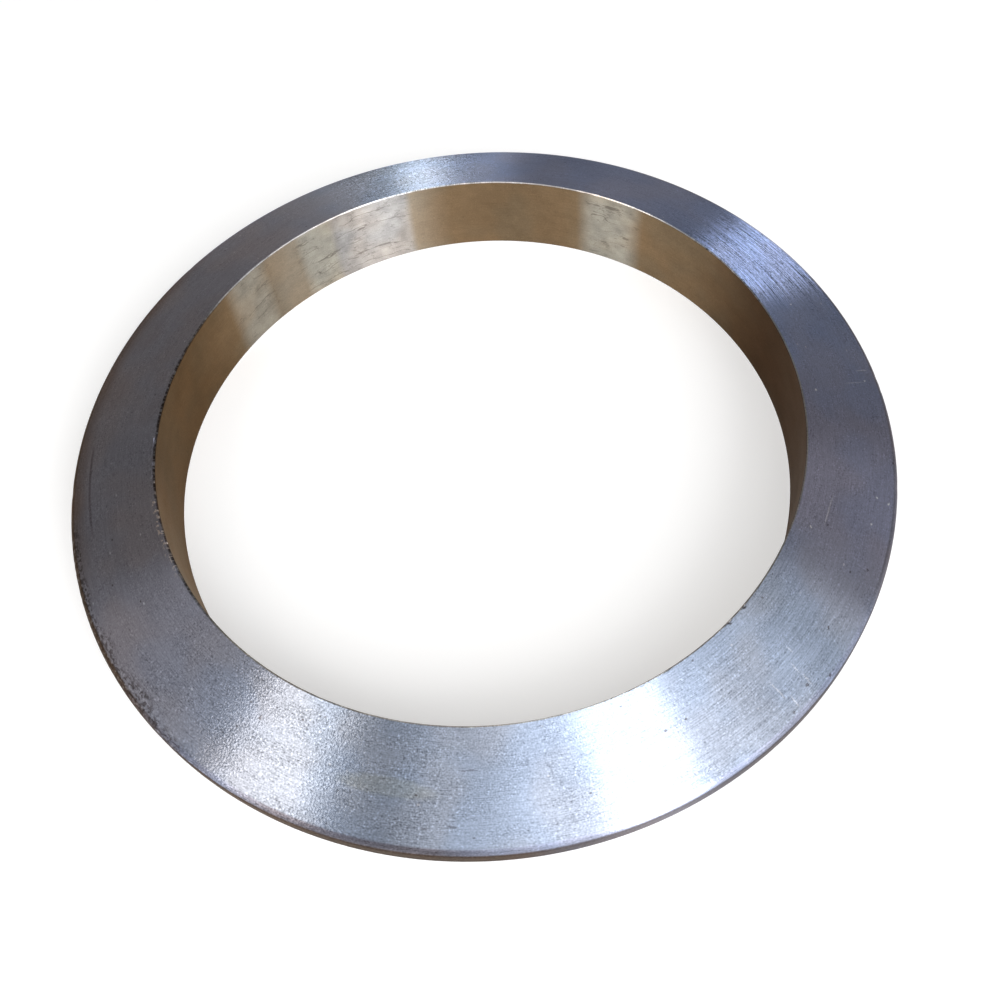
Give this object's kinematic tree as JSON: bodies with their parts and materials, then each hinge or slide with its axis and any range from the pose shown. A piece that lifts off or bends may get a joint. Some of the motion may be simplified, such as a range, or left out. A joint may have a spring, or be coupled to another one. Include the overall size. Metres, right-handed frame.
{
  "type": "exhaust flange",
  "caption": "Turned steel exhaust flange ring with a straight bore for a tube, a conical face for a V-band clamp and a plain pilot on the mating side.",
  "frame": {"origin": "on the bore's axis, in the plane of the pilot's end, which the flange stands on", "axes": "+Z along the bore's axis from the pilot towards the clamp cone; X and Y are free, because the ring is round"},
  "size_m": [0.1644, 0.1644, 0.0197],
  "materials": {
    "turned_steel": "bare turned steel, fine circular tool marks, small pits and handling nicks"
  },
  "bodies": {
    "root": {"flange_ring": "turned_steel"}
  },
  "joints": []
}
